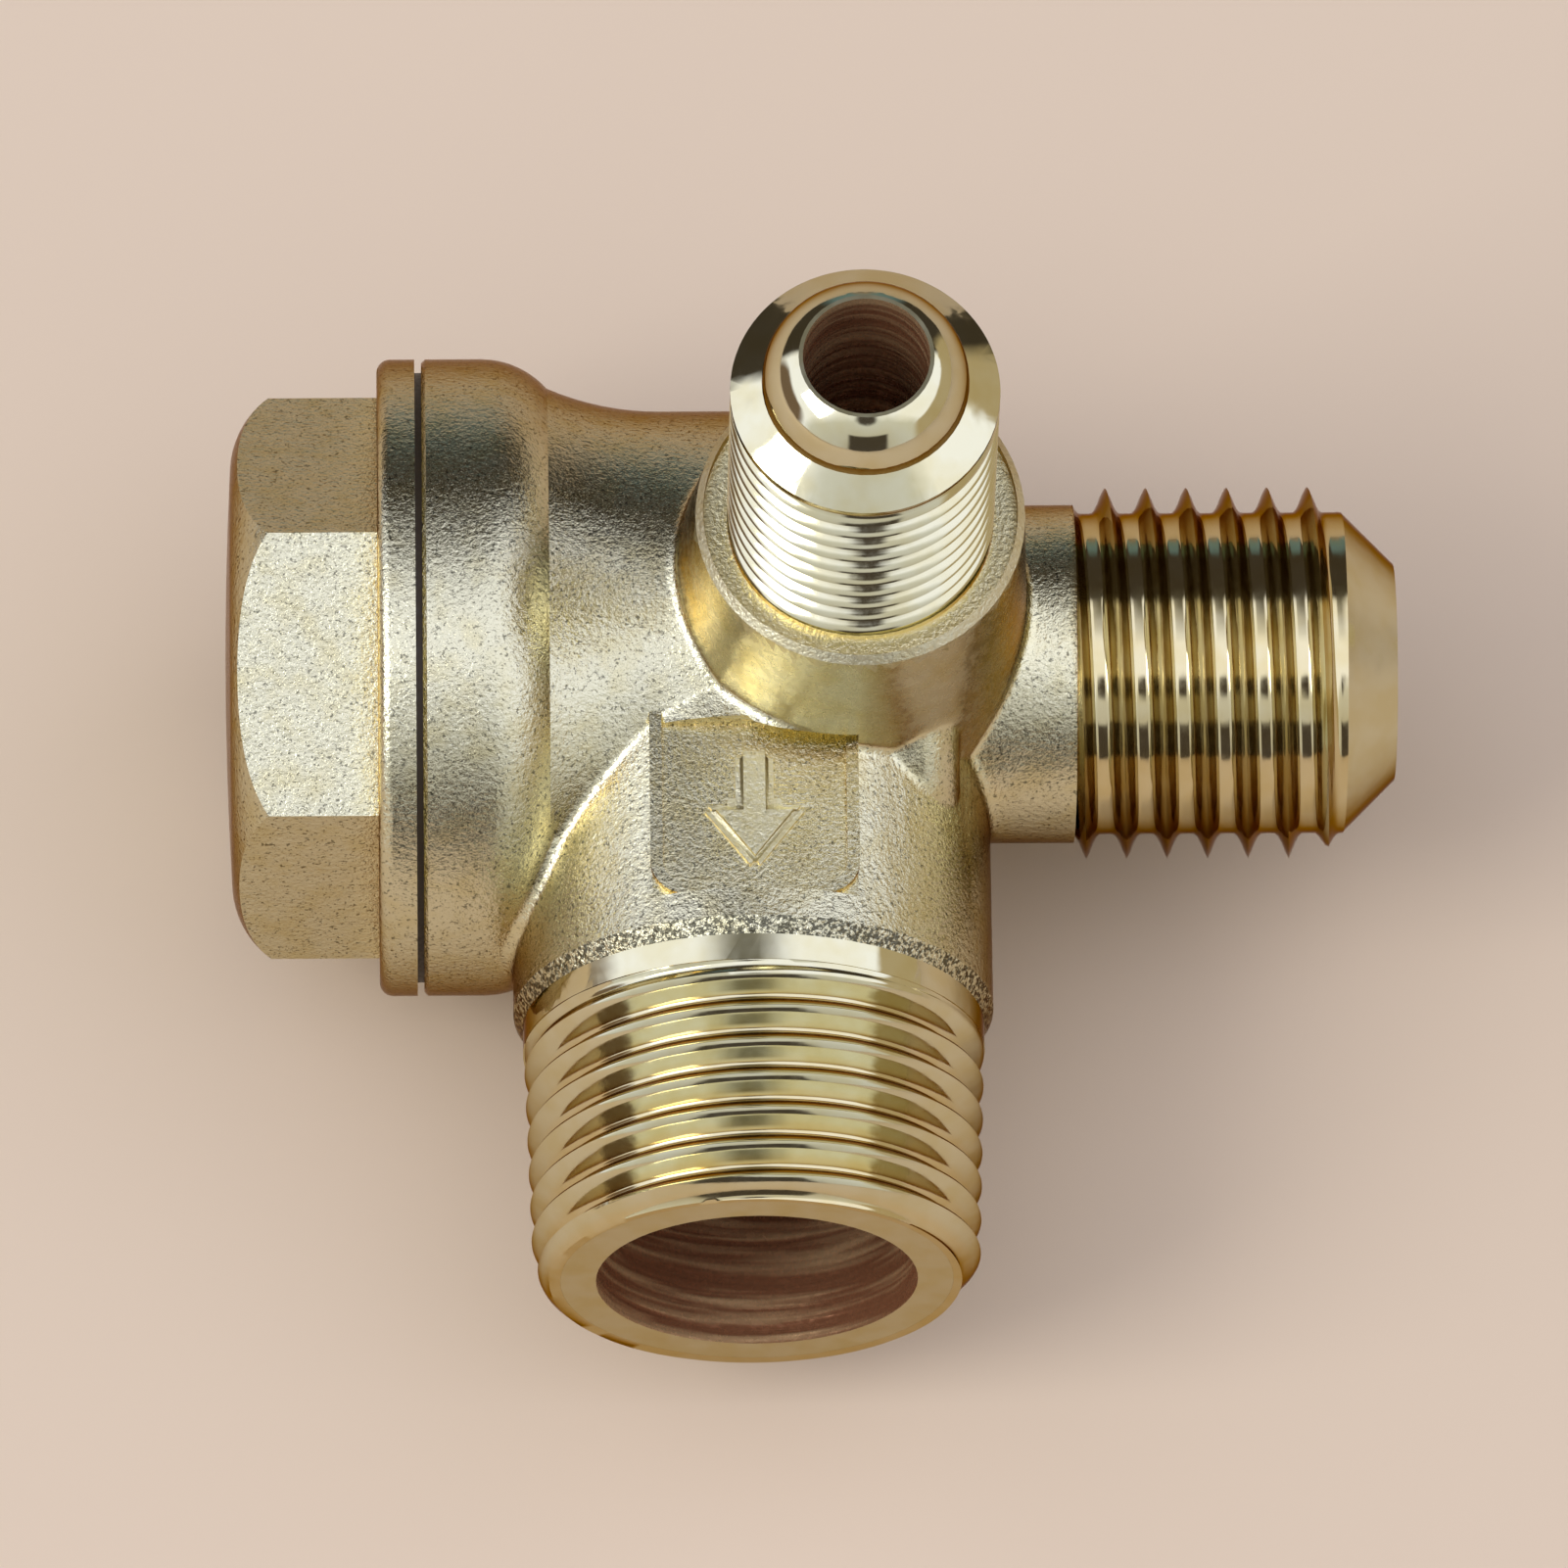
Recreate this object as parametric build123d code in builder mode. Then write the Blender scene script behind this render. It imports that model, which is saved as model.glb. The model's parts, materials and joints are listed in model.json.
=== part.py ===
"""Three-port non-return valve for a small air compressor, in millimetres.

The origin is the centre of the tank port's end face. The tank port points along -Y, the compressor
inlet along +X and the unloader spigot along +Z. The chamber axis runs along X at chamber_y.
"""

from build123d import *
from math import isclose
import os

os.makedirs("parts", exist_ok=True)

# Main distances, from the axis where the ports meet
tank_reach = 24.4
inlet_reach = 23.9
unloader_reach = 27.2
unloader_offset = 3.9
joint_face_reach = 12.1

# Chamber barrel and its collar
collar_radius = 11.8
collar_length = 4.65
collar_land = 2.2
collar_foot_radius = 10.7
collar_edge_chamfer = 0.15
barrel_radius = 9.82
barrel_reach = 7.6
barrel_taper_length = 4.2
shoulder_radius = 1.6

# Compressor inlet
inlet_neck_radius = 6.27
inlet_neck_reach = 12.0
inlet_thread_radius = 6.88
inlet_nose_chamfer = 2.85
inlet_bore_radius = 3.25

# Tank port
tank_neck_radius = 8.84
tank_neck_end = 10.7
tank_land_radius = 8.5
tank_land_start = 10.1
tank_thread_length = 9.1
tank_thread_radius = 8.33
tank_end_chamfer = 0.63
tank_bore_radius = 5.9
tank_bore_depth = 18.0

# Unloader boss and spigot
boss_root_offset = 2.95
boss_root_radius = 7.4
boss_radius = 6.02
boss_side_height = 13.8
boss_rim_radius = 5.75
boss_rim_rise = 0.3
boss_recess_depth = 0.5
unloader_thread_radius = 4.88
unloader_thread_end = 24.3
unloader_nose_radius = 3.75
unloader_nose_start = 25.1
unloader_bore_radius = 2.3
unloader_bore_floor = 9.0
unloader_hole_radius = 1.25
unloader_lip = 0.15

# Fillet where the cast necks meet
cast_fillet = 0.45

# Flat panel on the tank neck, with its thin raised border
panel_height = 8.0
panel_end = 11.8
panel_border_half = 3.6
panel_border_width = 0.45
panel_border_height = 0.3
panel_corner_radius = 1.1

# Chamber, screw thread for the cap and valve seat
cap_thread_radius = 9.0
cap_thread_lead = 0.4
chamber_radius = 7.6
chamber_reach = 1.4
seat_height = 0.8
seat_land = 0.95

# Screw cap
gasket_thickness = 0.25
gasket_inner_radius = 9.15
gasket_outer_radius = 11.3
flange_thickness = 1.4
flange_edge_round = 0.5
hex_across_flats = 18.0
hex_height = 5.65
hex_turn = 24.0
hex_crown = 0.2
hex_end_radius = 7.6
hex_bevel_length = 1.75
hex_bevel_radius = 10.6
skirt_radius = 8.9
skirt_lead = 0.5
thread_run_out = 0.2
spring_pocket_radius = 4.3
pocket_past_gasket = 0.85
guide_depth = 4.7
stem_clearance = 0.05

# Poppet, seal and spring
poppet_radius = 6.0
poppet_thickness = 2.7
poppet_edge_chamfer = 0.25
poppet_travel = 3.0
stop_clearance = 0.3
seal_radius = 5.0
seal_thickness = 2.0
seal_recess = 1.2
stem_radius = 1.75
stem_end_gap = 0.3
stem_chamfer = 0.4
spring_wire = 0.6
spring_mean_radius = 3.3
spring_turns = 5.5
spring_wire_sides = 8

# Places worked out from the sizes above
chamber_y = tank_reach
joint_face_x = -joint_face_reach
flange_face_x = joint_face_x - gasket_thickness
hex_base_x = flange_face_x - flange_thickness
hex_end_x = hex_base_x - hex_height
collar_end_x = joint_face_x + collar_length
seat_x = chamber_reach - seat_height
poppet_front_x = seat_x - (seal_thickness - seal_recess)
poppet_back_x = poppet_front_x - poppet_thickness
skirt_end_x = poppet_back_x - poppet_travel - stop_clearance
pocket_floor_x = flange_face_x - pocket_past_gasket
guide_floor_x = pocket_floor_x - guide_depth
stem_end_x = guide_floor_x + poppet_travel + stem_end_gap

chamber_axis = Axis((0, chamber_y, 0), (1, 0, 0))
chamber_plane = Plane((0, chamber_y, 0))
unloader_axis = Axis((unloader_offset, chamber_y, 0), (0, 0, 1))
unloader_plane = Plane(origin=(unloader_offset, chamber_y, 0), x_dir=(1, 0, 0), z_dir=(0, -1, 0))


# Valve body: one casting with three machined ports
with BuildPart() as valve_body:
    # Barrel and collar, drawn as axial place and radius
    with BuildSketch(chamber_plane):
        with BuildLine():
            foot = (collar_end_x, collar_foot_radius)
            taper_end = (collar_end_x + barrel_taper_length, barrel_radius)
            shoulder_start = (barrel_reach - shoulder_radius, barrel_radius)
            shoulder_end = (barrel_reach, barrel_radius - shoulder_radius)
            land_end = (joint_face_x + collar_land, collar_radius)
            Polyline(
                (barrel_reach, 0),
                (joint_face_x, 0),
                (joint_face_x, collar_radius - collar_edge_chamfer),
                (joint_face_x + collar_edge_chamfer, collar_radius),
                land_end,
            )
            TangentArc(land_end, foot, tangent=(1, 0))
            TangentArc(taper_end, foot, tangent=(-1, 0))
            Line(taper_end, shoulder_start)
            TangentArc(shoulder_start, shoulder_end, tangent=(1, 0))
            Line(shoulder_end, (barrel_reach, 0))
        make_face()
    revolve(axis=chamber_axis)

    # Compressor inlet
    with BuildSketch(chamber_plane):
        with BuildLine():
            Polyline(
                (0, 0),
                (0, inlet_neck_radius),
                (inlet_neck_reach, inlet_neck_radius),
                (inlet_neck_reach, inlet_thread_radius),
                (inlet_reach - inlet_nose_chamfer, inlet_thread_radius),
                (inlet_reach, inlet_thread_radius - inlet_nose_chamfer),
                (inlet_reach, 0),
                close=True,
            )
        make_face()
    revolve(axis=chamber_axis)

    # Tank port neck, land and spigot, drawn as radius and place along Y
    with BuildSketch(Plane.XY):
        with BuildLine():
            Polyline(
                (0, chamber_y),
                (tank_neck_radius, chamber_y),
                (tank_neck_radius, tank_neck_end),
                (tank_land_radius, tank_land_start),
                (tank_land_radius, tank_thread_length),
                (tank_thread_radius, tank_thread_length),
                (tank_thread_radius, tank_end_chamfer),
                (tank_thread_radius - tank_end_chamfer, 0),
                (0, 0),
                close=True,
            )
        make_face()
    revolve(axis=Axis.Y)

    # Unloader boss, cast with draft and leaning away from the collar
    with BuildSketch(Plane.XY):
        with Locations((boss_root_offset, chamber_y)):
            Circle(boss_root_radius)
    with BuildSketch(Plane.XY.offset(boss_side_height)):
        with Locations((unloader_offset, chamber_y)):
            Circle(boss_radius)
    loft()

    # Sloping rim of the boss, spigot and domed nose
    rim_height = boss_side_height + boss_rim_rise
    with BuildSketch(unloader_plane):
        with BuildLine():
            lip_radius = unloader_bore_radius + unloader_lip
            Polyline(
                (0, unloader_reach),
                (0, boss_side_height),
                (boss_radius, boss_side_height),
                (boss_rim_radius, rim_height),
                (unloader_thread_radius, rim_height),
                (unloader_thread_radius, unloader_thread_end),
                (unloader_nose_radius, unloader_nose_start),
            )
            TangentArc(
                (unloader_nose_radius, unloader_nose_start), (lip_radius, unloader_reach), tangent=(0, 1)
            )
            Line((lip_radius, unloader_reach), (0, unloader_reach))
        make_face()
    revolve(axis=unloader_axis)

    # Machined recess between the rim and the spigot
    with BuildSketch(Plane.XY.offset(rim_height)):
        with Locations((unloader_offset, chamber_y)):
            Circle(boss_rim_radius)
            Circle(unloader_thread_radius, mode=Mode.SUBTRACT)
    extrude(amount=-boss_recess_depth, mode=Mode.SUBTRACT)

    # Small cast fillet where the barrel, necks and boss run into each other, apart from the boss's seam
    junctions = valve_body.edges().filter_by(GeomType.BSPLINE)
    junctions = junctions.filter_by(lambda edge: not isclose(edge.length, (edge @ 1 - edge @ 0).length))
    fillet(junctions, cast_fillet)

    # Flat panel cut on the tank neck, up to the barrel, with a raised border on three sides
    border_top = panel_height + panel_border_height
    border_end_y = panel_end + panel_border_width / 2
    panel_width = 2 * panel_border_half + panel_border_width
    panel_top_y = chamber_y - (barrel_radius**2 - panel_height**2) ** 0.5
    border_top_y = chamber_y - (barrel_radius**2 - border_top**2) ** 0.5
    with BuildSketch(Plane.XY.offset(panel_height)):
        with Locations((0, panel_end)):
            Rectangle(panel_width, panel_top_y - panel_end, align=(Align.CENTER, Align.MIN))
    extrude(amount=tank_neck_radius - panel_height, mode=Mode.SUBTRACT)
    with BuildSketch(Plane.XY.offset(panel_height - panel_border_height)):
        with BuildLine():
            FilletPolyline(
                (-panel_border_half, border_top_y),
                (-panel_border_half, border_end_y),
                (panel_border_half, border_end_y),
                (panel_border_half, border_top_y),
                radius=panel_corner_radius,
            )
        trace(line_width=panel_border_width)
    extrude(amount=2 * panel_border_height)

    # Barrel end, chamber, seat and inlet passage
    with BuildSketch(chamber_plane):
        with BuildLine():
            thread_end_x = skirt_end_x + thread_run_out
            Polyline(
                (joint_face_x, 0),
                (joint_face_x, cap_thread_radius + cap_thread_lead),
                (joint_face_x + cap_thread_lead, cap_thread_radius),
                (thread_end_x, cap_thread_radius),
                (thread_end_x, chamber_radius),
                (chamber_reach, chamber_radius),
                (chamber_reach, inlet_bore_radius + seat_land),
                (seat_x, inlet_bore_radius + seat_land),
                (seat_x, inlet_bore_radius),
                (inlet_reach, inlet_bore_radius),
                (inlet_reach, 0),
                close=True,
            )
        make_face()
    revolve(axis=chamber_axis, mode=Mode.SUBTRACT)

    # Tank bore, unloader bore and its small feed hole
    with BuildSketch(Plane.XZ):
        Circle(tank_bore_radius)
    extrude(amount=-tank_bore_depth, mode=Mode.SUBTRACT)
    with BuildSketch(Plane.XY.offset(unloader_reach)):
        with Locations((unloader_offset, chamber_y)):
            Circle(unloader_bore_radius)
    extrude(amount=-(unloader_reach - unloader_bore_floor), mode=Mode.SUBTRACT)
    with BuildSketch(Plane.XY.offset(unloader_bore_floor)):
        with Locations((unloader_offset, chamber_y)):
            Circle(unloader_hole_radius)
    extrude(amount=-unloader_bore_floor, mode=Mode.SUBTRACT)

valve_body.part.label = "valve_body"
export_step(valve_body.part, "parts/valve_body.step")


# Screw cap: hexagon, flange, threaded skirt, spring pocket and stem guide
with BuildPart() as end_cap:
    with BuildSketch(Plane.YZ.offset(hex_end_x)):
        with Locations((chamber_y, 0)):
            RegularPolygon(hex_across_flats / 2, 6, major_radius=False, rotation=hex_turn)
    extrude(amount=hex_height)
    with BuildSketch(chamber_plane):
        with BuildLine():
            crown = (hex_end_x, 0)
            crown_edge = (hex_end_x + hex_crown, hex_end_radius)
            bevel_end = (hex_end_x + hex_crown + hex_bevel_length, hex_bevel_radius)
            TangentArc(crown, crown_edge, tangent=(0, 1))
            TangentArc(crown_edge, bevel_end, tangent=(0, 1))
            Polyline(
                bevel_end, (bevel_end[0], hex_across_flats), (hex_base_x, hex_across_flats), (hex_base_x, 0), crown
            )
        make_face()
    revolve(axis=chamber_axis, mode=Mode.INTERSECT)
    with BuildSketch(chamber_plane):
        with BuildLine():
            flange_round_start = (hex_base_x, collar_radius - flange_edge_round)
            flange_round_end = (hex_base_x + flange_edge_round, collar_radius)
            Line((hex_base_x, 0), flange_round_start)
            TangentArc(flange_round_start, flange_round_end, tangent=(0, 1))
            Polyline(
                flange_round_end,
                (flange_face_x, collar_radius),
                (flange_face_x, skirt_radius),
                (skirt_end_x - skirt_lead, skirt_radius),
                (skirt_end_x, skirt_radius - skirt_lead),
                (skirt_end_x, 0),
                (hex_base_x, 0),
            )
        make_face()
    revolve(axis=chamber_axis)
    with BuildSketch(Plane.YZ.offset(pocket_floor_x)):
        with Locations((chamber_y, 0)):
            Circle(spring_pocket_radius)
    extrude(amount=skirt_end_x - pocket_floor_x, mode=Mode.SUBTRACT)
    with BuildSketch(Plane.YZ.offset(guide_floor_x)):
        with Locations((chamber_y, 0)):
            Circle(stem_radius + stem_clearance)
    extrude(amount=guide_depth, mode=Mode.SUBTRACT)

end_cap.part.label = "end_cap"
export_step(end_cap.part, "parts/end_cap.step")


# Flat sealing ring between cap and body
with BuildPart() as cap_gasket:
    with BuildSketch(Plane.YZ.offset(flange_face_x)):
        with Locations((chamber_y, 0)):
            Circle(gasket_outer_radius)
            Circle(gasket_inner_radius, mode=Mode.SUBTRACT)
    extrude(amount=gasket_thickness)

cap_gasket.part.label = "cap_gasket"
export_step(cap_gasket.part, "parts/cap_gasket.step")


# Poppet: turned disc with a seal recess and a long guide stem
with BuildPart() as poppet:
    with BuildSketch(chamber_plane):
        with BuildLine():
            Polyline(
                (poppet_front_x, 0),
                (poppet_front_x, poppet_radius - poppet_edge_chamfer),
                (poppet_front_x - poppet_edge_chamfer, poppet_radius),
                (poppet_back_x + poppet_edge_chamfer, poppet_radius),
                (poppet_back_x, poppet_radius - poppet_edge_chamfer),
                (poppet_back_x, stem_radius),
                (stem_end_x + stem_chamfer, stem_radius),
                (stem_end_x, stem_radius - stem_chamfer),
                (stem_end_x, 0),
                close=True,
            )
        make_face()
    revolve(axis=chamber_axis)
    with BuildSketch(Plane.YZ.offset(poppet_front_x)):
        with Locations((chamber_y, 0)):
            Circle(seal_radius)
    extrude(amount=-seal_recess, mode=Mode.SUBTRACT)

poppet.part.label = "poppet"
export_step(poppet.part, "parts/poppet.step")


# Soft disc set in the poppet, which meets the seat
with BuildPart() as poppet_seal:
    with BuildSketch(Plane.YZ.offset(seat_x)):
        with Locations((chamber_y, 0)):
            Circle(seal_radius)
    extrude(amount=-seal_thickness)

poppet_seal.part.label = "poppet_seal"
export_step(poppet_seal.part, "parts/poppet_seal.step")


# Return spring from the cap's pocket to the back of the poppet
with BuildPart() as spring:
    spring_length = poppet_back_x - pocket_floor_x
    coil_height = spring_length - spring_wire
    with BuildLine() as coil:
        Helix(
            coil_height / spring_turns,
            coil_height,
            spring_mean_radius,
            center=(pocket_floor_x + spring_wire / 2, chamber_y, 0),
            direction=(1, 0, 0),
        )
    with BuildSketch(coil.line ^ 0):
        RegularPolygon(spring_wire / 2, spring_wire_sides)
    sweep(is_frenet=True)

spring.part.label = "spring"
export_step(spring.part, "parts/spring.step")
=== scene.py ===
"""Looks of the three-port non-return valve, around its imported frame.

The tank port points along -Y, the compressor inlet along +X and the unloader spigot along +Z.
The valve's sizes are written in millimetres, and MM scales them where they become coordinates.
Sizes of the floor and the lamp, and the camera's clipping, are in metres.
"""

import json
import math

import bmesh
import bpy
from mathutils import Matrix, Vector

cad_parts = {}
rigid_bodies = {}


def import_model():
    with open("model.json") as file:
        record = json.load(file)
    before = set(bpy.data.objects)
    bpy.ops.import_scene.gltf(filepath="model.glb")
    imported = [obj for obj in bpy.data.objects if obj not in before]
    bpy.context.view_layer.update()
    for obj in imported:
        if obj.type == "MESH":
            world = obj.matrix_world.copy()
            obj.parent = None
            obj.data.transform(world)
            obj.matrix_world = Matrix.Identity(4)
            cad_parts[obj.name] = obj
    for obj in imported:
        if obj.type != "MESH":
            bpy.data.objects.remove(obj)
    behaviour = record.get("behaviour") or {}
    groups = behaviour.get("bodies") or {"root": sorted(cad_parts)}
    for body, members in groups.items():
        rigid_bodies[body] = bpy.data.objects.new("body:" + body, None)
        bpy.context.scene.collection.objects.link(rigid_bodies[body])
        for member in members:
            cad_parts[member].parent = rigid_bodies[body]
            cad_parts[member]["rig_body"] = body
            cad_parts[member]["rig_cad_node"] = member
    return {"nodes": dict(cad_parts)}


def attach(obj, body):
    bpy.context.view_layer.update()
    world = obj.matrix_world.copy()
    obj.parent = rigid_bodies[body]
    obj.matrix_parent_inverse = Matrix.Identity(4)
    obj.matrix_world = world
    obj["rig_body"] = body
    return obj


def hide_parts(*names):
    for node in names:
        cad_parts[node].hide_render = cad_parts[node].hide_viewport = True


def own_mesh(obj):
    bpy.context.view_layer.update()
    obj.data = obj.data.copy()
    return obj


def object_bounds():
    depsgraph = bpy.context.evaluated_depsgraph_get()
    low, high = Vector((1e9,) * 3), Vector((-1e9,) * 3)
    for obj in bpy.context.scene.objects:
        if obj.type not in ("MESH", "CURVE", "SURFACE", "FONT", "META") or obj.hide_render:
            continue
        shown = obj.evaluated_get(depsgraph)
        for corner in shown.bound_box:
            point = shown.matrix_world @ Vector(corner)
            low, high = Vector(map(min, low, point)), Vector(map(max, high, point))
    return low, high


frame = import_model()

cad_low, cad_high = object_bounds()

MM = 0.001
INCH = 25.4

# Places that the frame fixes
CHAMBER_Y = 24.4
UNLOADER_X = 3.9
TANK_END_Y = 0.0
TANK_THREAD_END = 9.1
INLET_THREAD_START = 12.0
INLET_THREAD_END = 22.0
INLET_END_X = 23.9
INLET_NOSE_CHAMFER = 2.85
RECESS_FLOOR_Z = 13.6
THREAD_LIFT = 0.3
UNLOADER_THREAD_START = RECESS_FLOOR_Z + THREAD_LIFT
UNLOADER_THREAD_END = 24.3
PANEL_Z = 8.0


# Meshes

# Vertices around a ring, steps in a thread's turn, and turns laid beyond each end before the trim
AROUND = 144
TURN_STEPS = 12
SPARE_TURNS = 2

# Tolerances of a thread's mesh in millimetres, and of a CAD mesh in metres
JOIN_GAP = 1e-5
PLANE_GAP = 1e-6
RIM_GAP = 1e-4
CAD_JOIN_GAP = 1e-7

# Degrees from which an edge is shown sharp, and the least cosine between normals that count as one
THREAD_SHARP = 50
CAST_SHARP = 22
ARROW_SHARP = 40
SAME_NORMAL = math.cos(math.radians(5))


def add_object(name, bm):
    """Makes an object of a bmesh, and frees the bmesh."""
    mesh = bpy.data.meshes.new(name)
    bm.to_mesh(mesh)
    bm.free()
    made = bpy.data.objects.new(name, mesh)
    bpy.context.scene.collection.objects.link(made)
    return made


def own_copy(node, name):
    """A piece made of a CAD node's mesh, shown in its place on the housing."""
    source = frame["nodes"][node]
    piece = source.copy()
    piece.data = source.data.copy()
    piece.name = name
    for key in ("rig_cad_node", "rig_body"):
        del piece[key]
    bpy.context.scene.collection.objects.link(piece)
    piece.parent = None
    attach(piece, "housing")
    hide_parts(node)
    return piece


def wear(piece, material):
    """Gives a whole piece one material."""
    piece.data.materials.clear()
    piece.data.materials.append(material)


def shade_by_angle(piece, degrees):
    """Smooth shading that keeps edges sharper than an angle."""
    mesh = piece.data
    mesh.shade_smooth()
    bm = bmesh.new()
    bm.from_mesh(mesh)
    limit = math.radians(degrees)
    for edge in bm.edges:
        edge.smooth = len(edge.link_faces) == 2 and edge.calc_face_angle(0.0) < limit
    bm.to_mesh(mesh)
    bm.free()


def join_vertices(mesh):
    """Joins the split vertices of a CAD mesh, and keeps as sharp the edges where its normals part."""
    normals = [normal.vector.copy() for normal in mesh.corner_normals]
    bm = bmesh.new()
    bm.from_mesh(mesh)
    layer = bm.loops.layers.float_vector.new("cad_normal")
    loops = [loop for face in bm.faces for loop in face.loops]
    for loop, normal in zip(loops, normals):
        loop[layer] = normal
    bmesh.ops.remove_doubles(bm, verts=bm.verts, dist=CAD_JOIN_GAP)
    for edge in (e for e in bm.edges if len(e.link_loops) == 2):
        one, other = edge.link_loops
        ends = ((one, other.link_loop_next), (one.link_loop_next, other))
        edge.smooth = all(a[layer].dot(b[layer]) > SAME_NORMAL for a, b in ends)
    bm.loops.layers.float_vector.remove(layer)
    bm.to_mesh(mesh)
    bm.free()
    mesh.attributes.remove(mesh.attributes["custom_normal"])


def axis_matrix(origin, direction):
    """Turns local +Z to a direction from an origin in millimetres, and scales to metres."""
    turn = Vector((0, 0, 1)).rotation_difference(Vector(direction)).to_matrix().to_4x4()
    return Matrix.Scale(MM, 4) @ Matrix.Translation(Vector(origin)) @ turn


def clamped(share):
    """A share kept between 0 and 1."""
    return min(max(share, 0.0), 1.0)


def add_circle(bm, radius, height):
    """A closed ring of vertices around local Z."""
    angles = [2 * math.pi * k / AROUND for k in range(AROUND)]
    return [bm.verts.new((radius * math.cos(a), radius * math.sin(a), height)) for a in angles]


def add_band(bm, low, high):
    """Faces between two closed rings of vertices."""
    for k in range(AROUND):
        after = (k + 1) % AROUND
        bm.faces.new((low[k], low[after], high[after], high[k]))


def thread_height(share, root_share, crest_share, power):
    """Height at a share of the pitch from the middle of the groove, 0 in the groove and 1 on the crest."""
    from_root = 1 - abs(2 * share - 1)
    rise = (from_root - root_share) / (1 - crest_share - root_share)
    return clamped(rise) ** power


def add_helix(bm, start, end, pitch, limit, form, phase):
    """A right-hand thread's surface around local Z, longer than its span by the spare turns."""
    turns = int((end - start) / pitch) + 2 * SPARE_TURNS
    first = start - SPARE_TURNS * pitch
    rings = []
    for turn in range(turns):
        for step in range(TURN_STEPS):
            share = step / TURN_STEPS
            height = thread_height(share, *form)
            ring = []
            for k in range(AROUND + 1):
                s = first + (turn + share + phase + k / AROUND) * pitch
                groove, crest = limit(min(max(s, start), end))
                r = groove + (crest - groove) * height
                a = 2 * math.pi * k / AROUND
                ring.append(bm.verts.new((r * math.cos(a), r * math.sin(a), s)))
            rings.append(ring)
    for low, high in zip(rings, rings[1:]):
        for k in range(AROUND):
            bm.faces.new((low[k], low[k + 1], high[k + 1], high[k]))
    bmesh.ops.remove_doubles(bm, verts=bm.verts, dist=JOIN_GAP)


def trim_and_close(bm, start, end, core):
    """Cuts a thread's surface off at both ends and closes it to a sleeve with a core radius inside."""
    for place, side in ((start, -1), (end, 1)):
        geom = bm.verts[:] + bm.edges[:] + bm.faces[:]
        bmesh.ops.bisect_plane(
            bm, geom=geom, dist=PLANE_GAP, plane_co=(0, 0, place), plane_no=(0, 0, side), clear_outer=True
        )
    inner = []
    for place in (start, end):
        rim = [
            e for e in bm.edges
            if e.is_boundary and all(abs(v.co.z - place) < RIM_GAP for v in e.verts)
        ]
        grown = bmesh.ops.extrude_edge_only(bm, edges=rim)["geom"]
        for vert in (g for g in grown if isinstance(g, bmesh.types.BMVert)):
            flat = Vector((vert.co.x, vert.co.y, 0)).normalized() * core
            vert.co = Vector((flat.x, flat.y, place))
        inner += [g for g in grown if isinstance(g, bmesh.types.BMEdge)]
    bmesh.ops.bridge_loops(bm, edges=inner)
    bmesh.ops.recalc_face_normals(bm, faces=bm.faces)


def threaded_sleeve(name, place, span, pitch, core, limit, form, phase, finish):
    """A threaded sleeve between the two places of a span on an axis, as a piece of the housing.

    limit(s) gives the groove's and the crest's radius at a place s, form is the profile's
    (root_share, crest_share, power), and phase turns the thread by a share of a turn.
    """
    bm = bmesh.new()
    add_helix(bm, *span, pitch, limit, form, phase)
    trim_and_close(bm, *span, core)
    bm.transform(place)
    piece = add_object(name, bm)
    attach(piece, "housing")
    shade_by_angle(piece, THREAD_SHARP)
    piece.data.materials.append(finish)


def ring_cutter(place, span, radii):
    """A plain ring that clears the body's wall where a thread goes."""
    start, end = span
    inside, outside = radii
    bm = bmesh.new()
    profile = ((inside, start), (outside, start), (outside, end), (inside, end))
    loops = [add_circle(bm, radius, height) for radius, height in profile]
    for low, high in zip(loops, loops[1:] + loops[:1]):
        add_band(bm, low, high)
    bmesh.ops.recalc_face_normals(bm, faces=bm.faces)
    bm.transform(place)
    return add_object("cutter", bm)


def cut(piece, cutter):
    """Takes a cutter's shape out of a piece, and removes the cutter."""
    modifier = piece.modifiers.new("cut", "BOOLEAN")
    modifier.operation = "DIFFERENCE"
    modifier.solver = "EXACT"
    modifier.object = cutter
    graph = bpy.context.evaluated_depsgraph_get()
    mesh = bpy.data.meshes.new_from_object(piece.evaluated_get(graph))
    piece.modifiers.clear()
    piece.data = mesh
    bpy.data.objects.remove(cutter)


# Node helpers

def node_material(name):
    """A new material with its node tree and shader."""
    material = bpy.data.materials.new(name)
    material.use_nodes = True
    tree = material.node_tree
    return material, tree, tree.nodes["Principled BSDF"]


def noise(tree, per_mm, detail=2.0, roughness=0.5):
    """A 3-D noise over the object's own coordinates, with per_mm features a millimetre."""
    coord = tree.nodes.new("ShaderNodeTexCoord")
    node = tree.nodes.new("ShaderNodeTexNoise")
    node.inputs["Scale"].default_value = per_mm / MM
    node.inputs["Detail"].default_value = detail
    node.inputs["Roughness"].default_value = roughness
    tree.links.new(coord.outputs["Object"], node.inputs["Vector"])
    return node.outputs["Fac"]


def ramp(tree, factor, stops):
    """Colours along a factor, by stops of a place with a colour or a grey."""
    node = tree.nodes.new("ShaderNodeValToRGB")
    elements = node.color_ramp.elements
    while len(elements) < len(stops):
        elements.new(1.0)
    for element, (place, colour) in zip(elements, stops):
        element.position = place
        element.color = (*colour, 1) if hasattr(colour, "__len__") else (colour, colour, colour, 1)
    tree.links.new(factor, node.inputs["Fac"])
    return node.outputs["Color"]


def bump(tree, height, depth, after=None):
    """Bump of a height 0 to 1 that stands for depth millimetres, on top of the one in after."""
    node = tree.nodes.new("ShaderNodeBump")
    node.inputs["Strength"].default_value = 1.0
    node.inputs["Distance"].default_value = depth * MM
    tree.links.new(height, node.inputs["Height"])
    if after is not None:
        tree.links.new(after, node.inputs["Normal"])
    return node.outputs["Normal"]


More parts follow.
